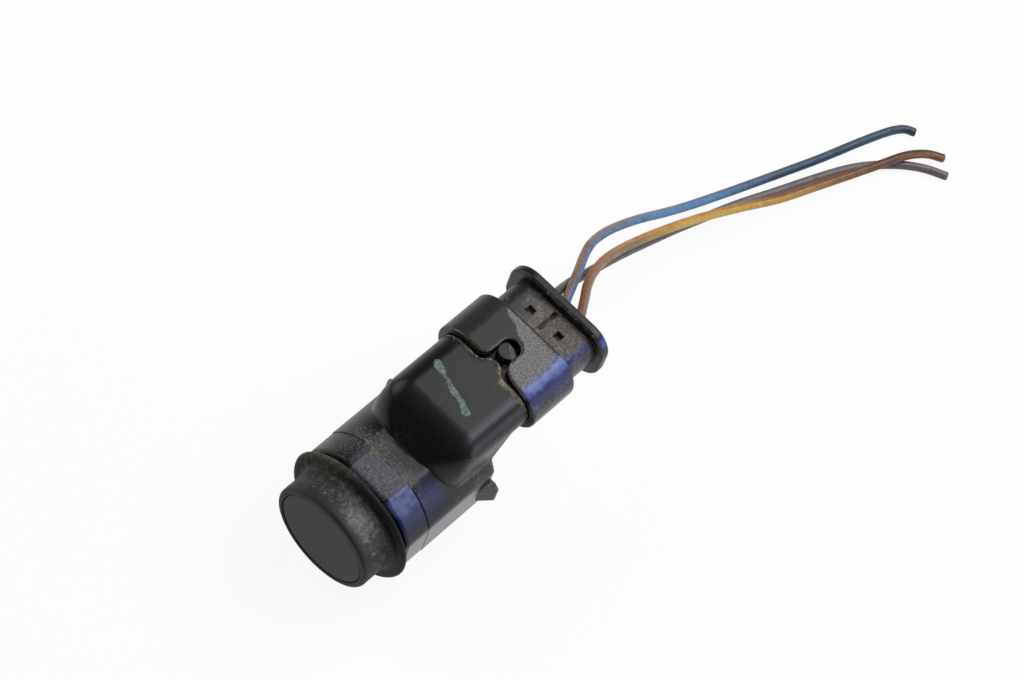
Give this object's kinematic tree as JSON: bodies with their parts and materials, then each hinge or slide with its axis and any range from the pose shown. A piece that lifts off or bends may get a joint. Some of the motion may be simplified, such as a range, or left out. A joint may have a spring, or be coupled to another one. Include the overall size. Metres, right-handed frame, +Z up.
{
  "type": "parking sensor",
  "caption": "Ultrasonic parking sensor with a rubber-cushioned round sensing face, a flat-sided barrel, a sloped connector bulge, a latched plug and wires that are cut short.",
  "frame": {"origin": "on the barrel axis, at the middle of the round rubber nose that goes through the bumper", "axes": "+Y along the barrel to the rear, so the sensing face looks to -Y; +Z up to the connector bulge; +X to the side of the barb"},
  "size_m": [0.03, 0.1287, 0.0262],
  "materials": {
    "cup_paint": "satin paint, fine grain",
    "ceramic": "matte",
    "foam": "matte",
    "copper": "bright",
    "nose_rubber": "matte, dusty",
    "ring_plastic": "satin moulded",
    "housing_plastic": "satin moulded, dusty",
    "casting_compound": "smooth",
    "board": "satin",
    "chip_plastic": "matte",
    "ferrite": "matte",
    "contact_metal": "bright",
    "plug_plastic": "satin moulded, dusty",
    "seal_rubber": "matte",
    "lock_plastic": "satin",
    "terminal_metal": "tinned",
    "wire_grey": "satin",
    "wire_blue": "satin",
    "wire_yellow": "satin"
  },
  "bodies": {
    "root": {"membrane_cup": "cup_paint", "piezo_disc": "ceramic", "damping_foam": "foam", "piezo_leads": "copper", "decoupling_ring": "nose_rubber", "front_ring": "ring_plastic", "housing": "housing_plastic", "potting_cap": "casting_compound", "circuit_board": "board", "control_chip": "chip_plastic", "transformer": "ferrite", "capacitors": "ceramic", "contact_pin_left": "contact_metal", "contact_pin_middle": "contact_metal", "contact_pin_right": "contact_metal", "plug_housing": "plug_plastic", "plug_seal": "seal_rubber", "terminal_lock": "lock_plastic", "terminal_left": "terminal_metal", "terminal_middle": "terminal_metal", "terminal_right": "terminal_metal", "wire_seal": "seal_rubber", "seal_retainer": "plug_plastic", "wire_grey": "wire_grey", "wire_blue": "wire_blue", "wire_yellow": "wire_yellow"}
  },
  "joints": []
}
